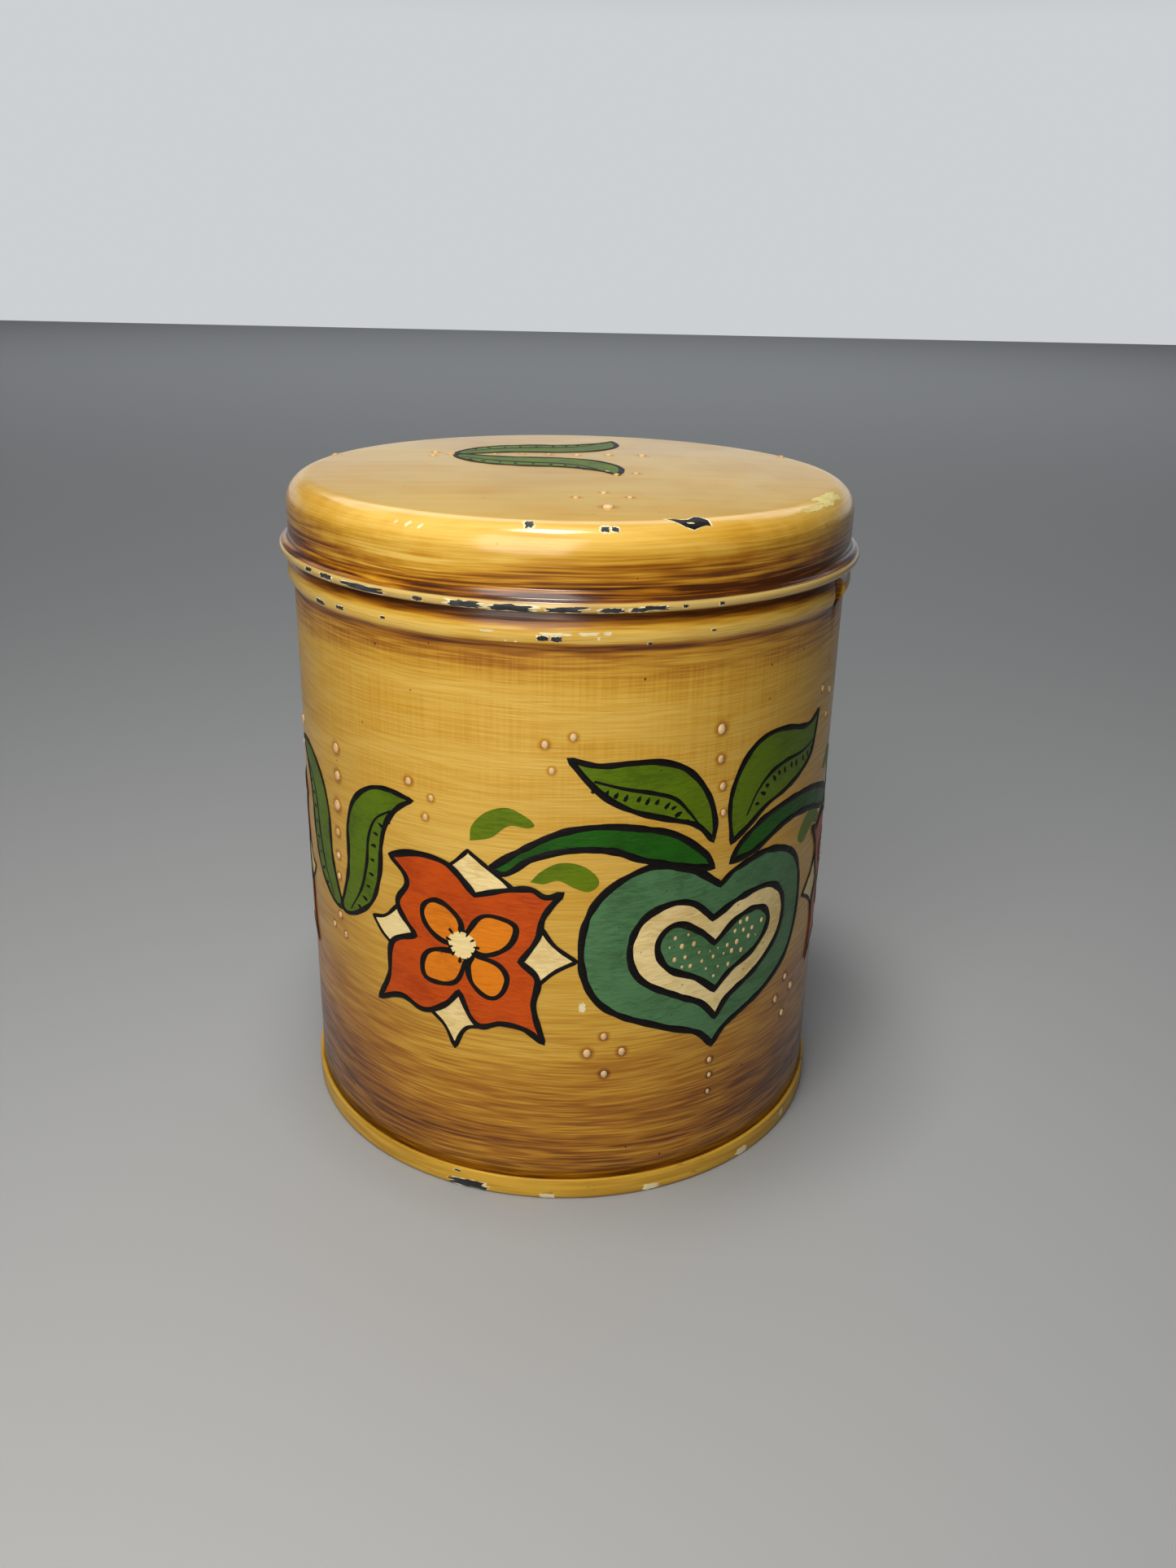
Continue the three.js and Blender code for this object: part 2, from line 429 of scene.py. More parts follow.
def lidPaint():
    glaze = lidGlazeAndShade
    material, shader = newPaint("glazed_paint", 0.36, coat=0.75)
    shader.inputs["Coat Roughness"].default_value = glaze["coatRoughness"]
    shader.inputs["Specular IOR Level"].default_value = glaze["specular"]
    nodes = Nodes(material)
    height = nodes.height()
    blots, streaks, fine = [brushed(nodes, *glaze[layer]) for layer in ("blots", "streaks", "fine")]
    top = nodes.noise(nodes.scaled((24, 300, 300)), 3.0, 0.6)
    cloud = nodes.noise(nodes.scaled((26, 26, 26)), 3.0)
    skirt = nodes.spread(height, 1.0, 0.0, *glaze["skirt"])
    # painted shade in the corner where the skirt meets the curl
    corner = nodes.spread(height, glaze["cornerShadeShare"], 0.0, *glaze["corner"])
    # painted light and shade: the skirt is paler on its left, towards the key, and darker on its right
    share = glaze["skirtSideShadeShare"]
    turned = nodes.spread(nodes.split().outputs["X"], -share, share, *glaze["turned"])
    amount = nodes.plus(nodes.math("ADD", corner, glaze["plain"]), skirt, glaze["skirtShare"])
    amount = nodes.plus(amount, skirt, turned)
    for layer, (plain, banded) in zip((blots, streaks, fine), glaze["swings"]):
        amount = nodes.plus(amount, layer, nodes.plus(plain, skirt, banded))
    amount = nodes.plus(amount, nodes.spread(cloud, -1, 1, 0.3, 0.7), glaze["cloudsShare"])
    amount = nodes.plus(amount, nodes.spread(top, -1, 1, 0.3, 0.7), glaze["topShare"])
    amount = nodes.plus(amount, specks(nodes, *glaze["specks"]), glaze["specksShare"])
    halos = nodes.node("ShaderNodeAttribute", attribute_name="glaze")
    amount = nodes.plus(amount, halos.outputs["Fac"], glaze["halosShare"], clamp=True)
    curl = nodes.spread(nodes.radius(), 0.0, 1.0, *glaze["curl"])
    curl = nodes.math("MULTIPLY", curl, nodes.spread(height, 1.0, 0.0, *glaze["curlTop"]))
    worn = nodes.mix(nodes.spread(streaks, 0, 0.6, -0.2, 1), glaze["curlPale"], glaze["curlWorn"])
    # the curl's worn paint, with painted shade on its underside
    worn = nodes.mix(nodes.spread(height, 1.0, 0.0, *glaze["curlShadowBand"]), worn, glaze["curlShadow"])
    nodes.feed(shader.inputs["Base Color"], nodes.mix(curl, nodes.ramp(amount, ochreStops), worn))
    nodes.feed(shader.inputs["Roughness"], nodes.spread(fine, 0.3, 0.42, -1, 1))
    relief = nodes.plus(nodes.math("MULTIPLY", cloud, 0.5), streaks, 0.5)
    nodes.bump(shader, relief, 0.08 * mm, 0.5)
    return material


ringTones = {
    "fresh": (0.66, 0.38, 0.04, 1),
    "worn": (0.45, 0.23, 0.015, 1),
    "stain": (0.15, 0.07, 0.02, 1),
    "foot": (0.12, 0.06, 0.02, 1),
}


def ringPaint():
    material, shader = newPaint("mustard_paint", 0.42, coat=0.1)
    nodes = Nodes(material)
    streaks = brushed(nodes, 40, 700, 3)
    blots = nodes.noise(nodes.scaled((220, 220, 500)), 3.0, 0.6)
    colour = nodes.mix(nodes.spread(streaks, 0, 0.8, -0.6, 1), ringTones["fresh"], ringTones["worn"])
    colour = nodes.mix(nodes.spread(blots, 0, 0.5, 0.62, 0.75), colour, ringTones["stain"])
    edge = nodes.spread(nodes.height(), 0.75, 0.0, 0.0, 0.0011)
    nodes.feed(shader.inputs["Base Color"], nodes.mix(edge, colour, ringTones["foot"]))
    nodes.bump(shader, blots, 0.15 * mm, 0.5)
    return material


tinTones = {"clean": (0.5, 0.49, 0.46, 1), "stained": (0.27, 0.22, 0.16, 1)}


def tinplate():
    material, shader = newPaint("bare_tinplate", 0.42, 1.0)
    nodes = Nodes(material)
    grain = nodes.noise(nodes.scaled((90, 90, 1400)), 3.0, 0.6)
    stain = nodes.noise(nodes.scaled((45, 45, 45)), 4.0, 0.65)
    colour = nodes.mix(nodes.spread(stain, 0, 1, 0.4, 0.75), tinTones["clean"], tinTones["stained"])
    nodes.feed(shader.inputs["Base Color"], colour)
    nodes.feed(shader.inputs["Roughness"], nodes.spread(grain, 0.32, 0.55))
    nodes.bump(shader, grain, 0.06 * mm, 0.4)
    return material


brushMarks = {
    "ridges": (300, 300, 1100),
    "cloud": (90, 90, 110),
    "coat": 0.1,
    "deep": 0.4,  # millimetres
    "specks": (420, 0.1),
    "specksShare": 0.6,
    "dirt": (0.05, 0.025, 0.01, 1),
}


def enamel(name, colour, shade, roughness=0.42, specular=0.15):
    # brushed enamel: thick paint with fine ridges and streaks of a second tone
    material, shader = newPaint(name, roughness, coat=brushMarks["coat"])
    nodes = Nodes(material)
    shader.inputs["Specular IOR Level"].default_value = specular
    ridges = nodes.noise(nodes.scaled(brushMarks["ridges"]), 4.0, 0.65, 0.6)
    cloud = nodes.noise(nodes.scaled(brushMarks["cloud"]), 3.0)
    amount = nodes.plus(nodes.math("MULTIPLY", ridges, 0.5), cloud, 0.5)
    mixed = nodes.mix(nodes.spread(amount, 0, 0.9, 0.42, 0.68), (*colour, 1), (*shade, 1))
    dirt = nodes.math("MULTIPLY", specks(nodes, *brushMarks["specks"]), brushMarks["specksShare"])
    nodes.feed(shader.inputs["Base Color"], nodes.mix(dirt, mixed, brushMarks["dirt"]))
    nodes.bump(shader, ridges, brushMarks["deep"] * mm, 0.8)
    return material


paints = {
    "wall": wallPaint(),
    "lid": lidPaint(),
    "ring": ringPaint(),
    "tinplate": tinplate(),
    "black": enamel("line_black", (0.003, 0.002, 0.002), (0.006, 0.004, 0.003), 0.5, 0.12),
    "orange": enamel("petal_orange", (0.54, 0.07, 0.0), (0.36, 0.035, 0.0)),
    "amber": enamel("petal_amber", (0.74, 0.21, 0.004), (0.54, 0.13, 0.004)),
    "cream": enamel("cream", (0.88, 0.7, 0.33), (0.68, 0.47, 0.16)),
    "teal": enamel("heart_teal", (0.08, 0.2, 0.083), (0.04, 0.11, 0.04)),
    "leaf": enamel("leaf_green", (0.10, 0.17, 0.001), (0.055, 0.1, 0.001)),
    "stem": enamel("stem_green", (0.012, 0.1, 0.002), (0.008, 0.055, 0.001)),
    "comma": enamel("comma_green", (0.12, 0.185, 0.0), (0.07, 0.12, 0.0)),
    "drop": enamel("drop_cream", (0.72, 0.5, 0.26), (0.56, 0.32, 0.12)),
    "steel": enamel("chip_steel", (0.022, 0.024, 0.028), (0.07, 0.075, 0.085), 0.45),
    "primer": enamel("chip_primer", (0.82, 0.74, 0.46), (0.62, 0.5, 0.26), 0.6),
    "rubbed": enamel("rubbed_ochre", (0.7, 0.6, 0.24), (0.58, 0.42, 0.1), 0.6),
}
print("paints")


# The metal's lines are in radius and height, to be spun and given their thickness
def arc(centreR, centreZ, radiusR, radiusZ, start, end, steps):
    points = []
    for i in range(steps + 1):
        turn = start + (end - start) * i / steps
        points.append((centreR + radiusR * math.cos(turn), centreZ + radiusZ * math.sin(turn)))
    return points


def beadRadius(z):
    # outside of the wall at a height, with the swaged ring
    half = tin["beadHeight"] / 2
    proud = tin["beadProud"]
    curve = (half * half + proud * proud) / (2 * proud)
    away = z - beadLow - half
    if abs(away) >= half:
        return tin["wallRadius"]
    return tin["wallRadius"] + proud - curve + math.sqrt(curve * curve - away * away)


def wallLine():
    radius = tin["wallRadius"]
    foot, rows, ringRows = tin["footHeight"], tin["rows"], tin["ringRows"]
    high = beadLow - tin["ringEase"] - foot
    plain = [(radius, foot + high * i / rows) for i in range(rows + 1)]
    heights = [beadLow + tin["beadHeight"] * i / ringRows for i in range(1, ringRows)]
    bead = [(beadRadius(z), z) for z in heights]
    roll = tin["mouthRoll"]
    top = wallTop - roll
    neck = [(radius, beadTop + tin["ringEase"]), (radius, beadTop + 5), (radius, top - 2)]
    return plain + bead + neck + arc(radius - roll, top, roll, roll, 0, math.pi * 1.45, 12)


def lidTopAt(r):
    # height of the painted top at a radius, over the flat and the shoulder
    centreZ = lid["top"] - lid["crown"] - lid["shoulderHigh"]
    rise = lid["shoulderHigh"] - lid["relief"]
    if r < shoulderStart:
        return centreZ + rise + lid["crown"] * (1 - (r / shoulderStart) ** 2)
    across = min(1.0, (r - shoulderStart) / lid["shoulderWide"])
    return centreZ + rise * math.sqrt(1 - across * across)


def lidLine():
    # the inner face of the sheet, which turns over at the edge to be the outside of the curl
    sheet = tin["sheet"]
    outer = lid["curlAcross"] / 2
    centreZ = lid["top"] - lid["crown"] - lid["shoulderHigh"]
    rise = lid["shoulderHigh"] - lid["relief"] - sheet
    flat = [(shoulderStart * i / 12, lidTopAt(shoulderStart * i / 12) - sheet) for i in range(12)]
    shoulder = arc(shoulderStart, centreZ, lid["shoulderWide"] - sheet, rise, math.pi / 2, 0, 14)
    skirt = [(skirtOut - sheet, centreZ - 3), (skirtOut - sheet, curlZ + 3.4)]
    curl = arc(curlCentre, curlZ, outer, outer, math.pi, math.pi * 2.44, 24)
    edge = [(curlCentre - 0.25, curlZ + 1.38), (curlCentre - 0.55, curlZ + 1.7)]
    edge += [(skirtOut + 0.12, curlZ + 2.3), (skirtOut + 0.02, curlZ + 3.1)]  # lies against the skirt
    return flat + shoulder + skirt + curl + edge


def baseLine():
    inside = tin["wallRadius"] - tin["sheet"] - base["fit"]
    chuck = inside - tin["sheet"]
    flangeIn = tin["wallRadius"] + base["fit"]
    flangeOut = tin["wallRadius"] + base["ringProud"]
    middle = (flangeIn + flangeOut) / 2
    half = (flangeOut - flangeIn) / 2
    corner = base["round"]
    under = base["panel"] - tin["sheet"]
    line = [(0, under), (chuck * 0.5, under), (chuck - corner, under)]
    line += [(chuck, under - corner), (chuck, corner)]
    line += arc(chuck + corner, corner, corner, corner, math.pi, math.pi * 1.5, 4)
    line += arc(flangeOut - corner, corner, corner, corner, -math.pi / 2, 0, 4)
    line += arc(middle, base["ringHeight"] - half, half, half, 0, math.pi / 2, 5)
    line += [(flangeIn - 0.05, base["ringHeight"] - 0.1), (flangeIn - 0.32, base["ringHeight"] - 0.35)]
    line += [(flangeIn - 0.3, base["ringHeight"] - 0.8), (flangeIn, base["ringHeight"] - 1.1)]
    line += [(flangeIn, base["foot"]), (inside, base["foot"]), (inside, under), (chuck, base["panel"])]
    return line + [(chuck * 0.5, base["panel"]), (0, base["panel"])]


def smoothStep(value, low, high):
    t = min(1.0, max(0.0, (value - low) / (high - low)))
    return t * t * (3 - 2 * t)


def turnGap(turn, other):
    return (turn - other + math.pi) % (2 * math.pi) - math.pi


def wander(turn, z):
    place = Vector((2.2 * math.cos(turn), 2.2 * math.sin(turn), z / 22))
    return tin["wobble"] * noise.noise(place)


def wallShape(turn, r, z):
    # radius of the wall with its wander, its lapped seam and the bead that stops at the seam
    radius = tin["wallRadius"]
    away = turnGap(turn, tin["seamTurn"]) * radius
    if beadLow < z < beadTop and r > radius - 0.01:
        high = (z - (beadLow + beadTop) / 2) / (tin["beadHeight"] / 2)
        wide = tin["hollowWide"] * math.sqrt(1 - high * high)
        r -= (r - radius + tin["hollowDeep"]) * (1 - smoothStep(abs(away), wide - 0.5, wide + 0.3))
    elif r > radius - 0.01:
        lap = smoothStep(away, -0.4, 0.4) * (1 - smoothStep(away, *tin["lapEnd"]))
        r += tin["lapProud"] * lap * smoothStep(z, 6, 9) * (1 - smoothStep(z, beadLow - 4, beadLow))
    return r + wander(turn, z)


def lidShape(turn, r, z):
    return r + wander(turn + 1, z) * smoothStep(r, 5, 60)


def plainShape(turn, r, z):
    return r


def spinLine(line, steps, shape, gather=None):
    # gather draws the steps closer together about one turn
    bm = bmesh.new()
    verts = [bm.verts.new((0, -r * mm, z * mm)) for r, z in line]
    edges = [bm.edges.new(pair) for pair in zip(verts, verts[1:])]
    bmesh.ops.spin(
        bm, geom=verts + edges, cent=(0, 0, 0), axis=(0, 0, 1), angle=2 * math.pi, steps=steps,
        use_merge=True,
    )
    bmesh.ops.remove_doubles(bm, verts=bm.verts, dist=0.002 * mm)
    for vert in bm.verts:
        r = math.hypot(vert.co.x, vert.co.y)
        if r > 0.1 * mm:
            turn = math.atan2(vert.co.x, -vert.co.y)
            if gather is not None:
                turn -= 0.6 * math.sin(turnGap(turn, gather))
            out = shape(turn, r / mm, vert.co.z / mm) * mm
            vert.co.xy = (out * math.sin(turn), -out * math.cos(turn))
    return bm


def finishMesh(bm, name, materials, sharp=35):
    for face in bm.faces:
        face.smooth = True
    for edge in bm.edges:
        if len(edge.link_faces) == 2 and edge.calc_face_angle(0) > math.radians(sharp):
            edge.smooth = False
    mesh = bpy.data.meshes.new(name)
    bm.to_mesh(mesh)
    bm.free()
    for material in materials:
        mesh.materials.append(paints[material])
    piece = bpy.data.objects.new(name, mesh)
    bpy.context.scene.collection.objects.link(piece)
    return piece


def faceOut(bm):
    # open spun sheets: point the faces away from the tin's middle
    bmesh.ops.recalc_face_normals(bm, faces=bm.faces)
    bm.faces.ensure_lookup_table()
    probe = max(bm.faces, key=lambda face: face.calc_center_median().xy.length)
    if probe.normal.xy.dot(probe.calc_center_median().xy) < 0:
        bmesh.ops.reverse_faces(bm, faces=bm.faces)


def thicken(piece, materialStep):
    solid = piece.modifiers.new("sheet", "SOLIDIFY")
    solid.thickness = tin["sheet"] * mm
    solid.offset = -1
    solid.use_even_offset = True
    solid.material_offset = materialStep


def makeWall():
    bm = spinLine(wallLine(), 360, wallShape, tin["seamTurn"])
    faceOut(bm)
    piece = finishMesh(bm, "painted_wall", ["wall", "tinplate"])
    thicken(piece, 1)
    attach(piece, "tin")
    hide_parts("body_wall")


def makeBase():
    bm = spinLine(baseLine(), 240, plainShape)
    bmesh.ops.recalc_face_normals(bm, faces=bm.faces)
    for face in bm.faces:
        centre = face.calc_center_median()
        inTin = centre.z > base["foot"] * mm and centre.xy.length < tin["wallRadius"] * mm
        if inTin and face.normal.z > -0.2:
            face.material_index = 1
    piece = finishMesh(bm, "painted_base", ["ring", "tinplate"])
    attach(piece, "tin")
    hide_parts("base_end")


def makeLid():
    bm = spinLine(lidLine(), 240, lidShape)
    bmesh.ops.recalc_face_normals(bm, faces=bm.faces)
    roof = min(bm.faces, key=lambda face: face.calc_center_median().xy.length)
    if roof.normal.z > 0:
        bmesh.ops.reverse_faces(bm, faces=bm.faces)
    inside = (tin["wallRadius"] + lid["fit"] + 0.15) * mm
    for face in bm.faces:
        centre = face.calc_center_median()
        face.material_index = 1 if centre.xy.length < inside and centre.z > curlZ * mm else 0
    piece = finishMesh(bm, "painted_lid", ["lid", "tinplate"])
    thicken(piece, -1)
    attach(piece, "lid")
    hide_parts("lid_shell")


makeWall()
makeBase()
makeLid()
print("metal")


# Paint is drawn flat in millimetres and laid on the metal, h proud of it
def onWall(x, z, h):
    turn = x / tin["wallRadius"]
    r = beadRadius(z)
    slope = (beadRadius(z + 0.05) - beadRadius(z - 0.05)) / 0.1
    lean = math.atan(-slope)
    r = wallShape(turn, r, z) + h * math.cos(lean)
    return Vector((r * math.sin(turn), -r * math.cos(turn), z + h * math.sin(lean))) * mm


def onLid(x, y, h):
    # the top and its rounded shoulder, seen from above
    r = math.hypot(x, y)
    lean = math.atan((lidTopAt(r - 0.05) - lidTopAt(r + 0.05)) / 0.1)
    grow = (r + h * math.sin(lean)) / max(r, 0.001)
    return Vector((x * grow, y * grow, lidTopAt(r) + h * math.cos(lean))) * mm


def onCurl(x, s, h):
    # s runs down round the curl from its outermost line
    turn = x / tin["wallRadius"]
    outer = lid["curlAcross"] / 2
    bend = -s / outer
    r = lidShape(turn, curlCentre, curlZ) + (outer + h) * math.cos(bend)
    return Vector((r * math.sin(turn), -r * math.cos(turn), curlZ + (outer + h) * math.sin(bend))) * mm


def onRing(x, z, h):
    r = tin["wallRadius"] + base["ringProud"] + h
    turn = x / tin["wallRadius"]
    return Vector((r * math.sin(turn), -r * math.cos(turn), z)) * mm


def shifted(place, x0, y0, flip=1, turn=0.0, size=1.0):
    # the same drawing elsewhere, mirrored with flip=-1, or turned
    c, s = math.cos(turn) * size, math.sin(turn) * size

    def moved(x, y, h):
        x *= flip
        return place(x0 + c * x - s * y, y0 + s * x + c * y, h)

    return moved


def easeLine(points, corners=(), closed=True, step=0.7):
    # a hand-drawn line through the points, sharp at the corners and smooth elsewhere
    count = len(points)
    flat = [Vector((x, y, 0)) for x, y in points]

    def lean(i):
        if i in corners or (not closed and i in (0, count - 1)):
            return None
        return (flat[(i + 1) % count] - flat[i - 1]).normalized()

    line = []
    for i in range(count if closed else count - 1):
        start, end = flat[i], flat[(i + 1) % count]
        reach = (end - start).length / 3
        toEnd = (end - start).normalized()
        first = start + (lean(i) or toEnd) * reach
        second = end - (lean((i + 1) % count) or toEnd) * reach
        pieces = max(3, round(reach * 3 / step))
        line += geometry.interpolate_bezier(start, first, second, end, pieces + 1)[:-1]
    if not closed:
        line.append(flat[-1])
    return line


def laid(part, material, place, target):
    for face in part.faces:
        face.material_index = material
    for vert in part.verts:
        vert.co = place(*vert.co)
    mesh = bpy.data.meshes.new("part")
    part.to_mesh(mesh)
    part.free()
    target.from_mesh(mesh)
    bpy.data.meshes.remove(mesh)


def sliced(part, axis, gap):
    # cuts across long flats so that they can follow the round metal
    spots = [vert.co[axis] for vert in part.verts]
    at = min(spots) + gap
    normal = Vector((0, 0, 0))
    normal[axis] = 1
    while at < max(spots):
        everything = part.verts[:] + part.edges[:] + part.faces[:]
        bmesh.ops.bisect_plane(part, geom=everything, dist=1e-5, plane_co=normal * at, plane_no=normal)
        at += gap


def patch(target, line, level, material, place, gaps=(1.6, None)):
    # a filled shape of paint, standing level proud
    part = bmesh.new()
    face = part.faces.new([part.verts.new(point) for point in line])
    face.normal_update()
    if face.normal.z < 0:
        face.normal_flip()
    grown = bmesh.ops.extrude_face_region(part, geom=[face])
    top = [item for item in grown["geom"] if isinstance(item, bmesh.types.BMVert)]
    bmesh.ops.translate(part, verts=part.verts[:], vec=(0, 0, -0.12))
    bmesh.ops.translate(part, verts=top, vec=(0, 0, level + 0.12))
    bmesh.ops.recalc_face_normals(part, faces=part.faces)
    bmesh.ops.triangulate(part, faces=part.faces[:])
    for axis, gap in enumerate(gaps):
        if gap:
            sliced(part, axis, gap)
    laid(part, material, place, target)


def stroke(target, line, width, level, material, place, closed=True, taper=(0.0, 0.0), seed=0.0):
    # one pull of a liner brush, a little uneven in width
    curve = bpy.data.curves.new("line", "CURVE")
    curve.dimensions = "3D"
    curve.bevel_depth = 1
    curve.bevel_resolution = 1
    curve.use_fill_caps = True
    spline = curve.splines.new("POLY")
    spline.points.add(len(line) - 1)
    spline.use_cyclic_u = closed
    last = len(line) - 1
    for i, (point, spot) in enumerate(zip(spline.points, line)):
        point.co = (*spot, 1)
        uneven = 1 + 0.4 * noise.noise(Vector((spot.x * 0.3, spot.y * 0.3, seed)))
        ends = 1.0
        if not closed:
            along = i / last
            ends -= taper[0] * (1 - smoothStep(along, 0, 0.5)) + taper[1] * smoothStep(along, 0.5, 1)
        point.radius = width / 2 * uneven * ends
    holder = bpy.data.objects.new("line", curve)
    mesh = holder.to_mesh()
    part = bmesh.new()
    part.from_mesh(mesh)
    holder.to_mesh_clear()
    bpy.data.objects.remove(holder)
    bpy.data.curves.remove(curve)
    bmesh.ops.scale(part, vec=(1, 1, 0.17), verts=part.verts)
    bmesh.ops.translate(part, vec=(0, 0, level), verts=part.verts)
    bmesh.ops.recalc_face_normals(part, faces=part.faces)
    laid(part, material, place, target)


def painted(bm, name, materials, body):
    piece = finishMesh(bm, name, materials, 50)
    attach(piece, body)


# Each motif is drawn about its own middle
heart = {
    "outer": [(0, 15.3), (-7.5, 20.3), (-17.5, 22.4), (-28.5, 15), (-31.4, 1.5), (-27, -9.5), (-13, -16.8),
              (-4, -20.5), (0.2, -24.8), (4, -20.8), (18, -15), (26, -9), (29.3, 3), (26, 14), (15, 19.5),
              (4, 18)],
    "outerCorners": (0, 8),
    "middle": [(-1.5, 7.6), (-7, 12.4), (-12.5, 13.1), (-18.5, 10), (-21, 3), (-18.5, -4), (-9, -10),
               (-3.5, -13), (0.7, -17.8), (4, -13.5), (13, -9), (20.5, -2.5), (21.2, 5.5), (16, 10.6),
               (6, 10.6)],
    "middleCorners": (0, 8),
    "inner": [(-0.7, 1.3), (-5, 5.3), (-11, 8), (-14.8, 4), (-12.5, -2), (-5, -6.3), (0, -10.5), (4, -7),
              (12, -3.4), (15.8, 2), (12.5, 6.2), (5.5, 5.8)],
    "innerCorners": (0, 6),
    "levels": {"outer": 0.08, "middle": 0.12, "inner": 0.16},
    "line": 1.6,
}
flower = {
    "star": [(1.5, 22.3), (6.0, 18.9), (11.2, 14.6), (17.2, 6), (20.0, 2), (24.7, -1.7), (20.2, -4.2),
             (16.8, -7.4), (6, -19), (0.6, -20.6), (-2.3, -26), (-4.8, -21), (-8.2, -18), (-18.5, -5),
             (-21.4, -2.8), (-24, 0.3), (-20.2, 1.6), (-17, 4.6), (-3.6, 17.6), (-1.4, 19.4)],
    "starCorners": (0, 5, 10, 15),
    "petals": [(-18, 17), (-12.5, 18.9), (-7, 19.3), (-2.5, 18), (3, 12.4), (9.8, 14.4), (15, 15), (18, 13.4),
               (21.3, 14.3), (17.6, 8.7), (16.4, 3.6), (12.8, -2.2), (16.4, -6.2), (15.6, -13), (17.8, -22),
               (13.6, -18.8), (8.5, -18), (3.2, -19.2), (-1, -11.7), (-4.5, -15.8), (-10, -18.6),
               (-16, -17), (-23, -20), (-19.6, -13), (-18.2, -4.2), (-11.6, -0.5), (-16.2, 6), (-13.4, 12.2)],
    "petalCorners": (0, 4, 8, 11, 14, 18, 22, 25),
    "lobes": [
        [(0.3, 2.2), (-0.9, 6.4), (-5.8, 9.4), (-9.4, 7), (-8.4, 2.6), (-3.3, -0.2)],
        [(1, 3), (4.6, 7.6), (9.4, 7.5), (11.9, 5.6), (9.6, 0.6), (3.6, -1.4)],
        [(2.6, -1.9), (8.2, -3.6), (9.9, -7.2), (7, -11.8), (2.6, -9.6), (1.2, -5)],
        [(0.8, -3.4), (-1.6, -9.2), (-6, -10.6), (-9.6, -9.4), (-8.6, -3.8), (-2.4, -2)],
    ],
    "levels": {"star": 0.12, "petals": 0.24, "lobes": 0.28, "dabs": 0.42, "middle": 0.44},
    "lines": {"star": 0.95, "petals": 1.4, "lobes": 1.2, "dabs": 0.75},
    "dabs": 11,
}
leaves = {
    "left": [(-34.5, 47), (-28.5, 45.6), (-22, 45.9), (-15.5, 45.6), (-9.5, 43), (-4.6, 37), (-2.5, 30.5),
             (-2.8, 26.2), (-7, 30.5), (-14, 33), (-21, 35.3), (-26.5, 38.3), (-30.5, 42)],
    "leftVein": [(-29.5, 42.3), (-23, 40.4), (-17, 39), (-12.3, 37.2), (-9, 33.8), (-6.5, 30.6)],
    "right": [(32.3, 47.3), (27.5, 45.5), (24, 45.7), (18, 47.1), (12, 47.3), (7.3, 45.6), (3.4, 41),
              (1.2, 34), (2.2, 24.7), (7, 27.6), (12, 30.8), (19, 32.8), (25, 35), (29.6, 38),
              (31.3, 42.5)],
    "rightVein": [(30.3, 41), (25, 39.8), (18, 39.5), (13, 38.2), (9, 35), (6, 30)],
    "line": 1.3,
    "level": 0.08,
    "veinLevel": 0.09,
    "tickWide": 0.95,
}
stems = {
    "left": [(-2.2, 19.8), (-4.4, 23.4), (-12, 29.2), (-20, 31.5), (-28, 32.3), (-36, 31), (-44, 26.8),
             (-51, 21.8), (-47.5, 21), (-42, 24.8), (-34, 27.1), (-25.5, 26.8), (-19, 24.3), (-8, 21.2)],
    "right": [(2.4, 20), (4.8, 23.8), (12, 28), (22, 29.5), (32, 28.7), (42, 25.8), (51, 21.5), (48, 19.4),
              (40, 21.3), (33, 23.5), (25, 24.8), (18, 24.2), (9, 20.9)],
    "corners": {"left": (0, 7), "right": (0, 6)},
    "line": 1.5,
    "level": 0.06,
}
commas = {
    "high": [(-55, 27.7), (-54.6, 31), (-51.6, 34.4), (-47.4, 35.9), (-44.4, 35), (-41.4, 32.6),
             (-42.6, 31.8), (-46.6, 32), (-50.4, 29)],
    "low": [(-42.2, 19.7), (-40, 22.2), (-36.4, 24.2), (-32.4, 24), (-29.2, 22), (-28, 19.6), (-30, 17.8),
            (-33, 18.6), (-36.4, 20.3), (-39.5, 19.4)],
    "level": 0.1,
    "offset": 1.5,  # how far the right-hand dabs stray from a true mirror image
}
curledLeaf = {
    "outline": [(-0.5, -1.4), (1.6, 3.2), (3.6, 9), (4.2, 15), (4.4, 20.5), (7, 27), (12.5, 31.6), (18, 32.9),
                (25, 32), (21, 29.3), (17.6, 25), (15.9, 19.5), (15, 12), (12.2, 4.6), (7, 0), (2.4, -2)],
    "vein": [(19, 28.2), (14.4, 25), (11.9, 20), (10.9, 13.5), (8.6, 6.5), (4, -0.4)],
    "line": 1.25,
}
layout = {
    "hearts": (35, 35 + math.pi * tin["wallRadius"]),  # distances round the wall
    "columns": (-58.5, 128.5),
    "flowers": ((-22, 1), (92, -1), (170, 1), (-100, -1)),  # -1 is a mirror image
    "heartHigh": 60,
    "columnHigh": 62,
    "flowerHigh": 63,
    "lidPair": (-25.5, 17.5),
    "lidPairSize": 1.12,
}


def wholeTurn(count):
    return [2 * math.pi * i / count for i in range(count)]


def ticks(bm, vein, side, count, place):
    # short tapering dabs beside a vein
    for i in range(count):
        at = (i + 0.6) / count * 0.94 * (len(vein) - 1)
        spot = vein[int(at)]
        along = (vein[int(at) + 1] - spot).normalized()
        out = Vector((-along.y, along.x, 0)) * side
        start = spot + out * 1.0
        end = start + out * (1.5 + 0.3 * math.sin(3 * i)) - along * 0.35
        line = [start.lerp(end, k / 4) for k in range(5)]
        stroke(
            bm, line, leaves["tickWide"], leaves["level"], 1, place,
            closed=False, taper=(0.8, 0.25), seed=i,
        )


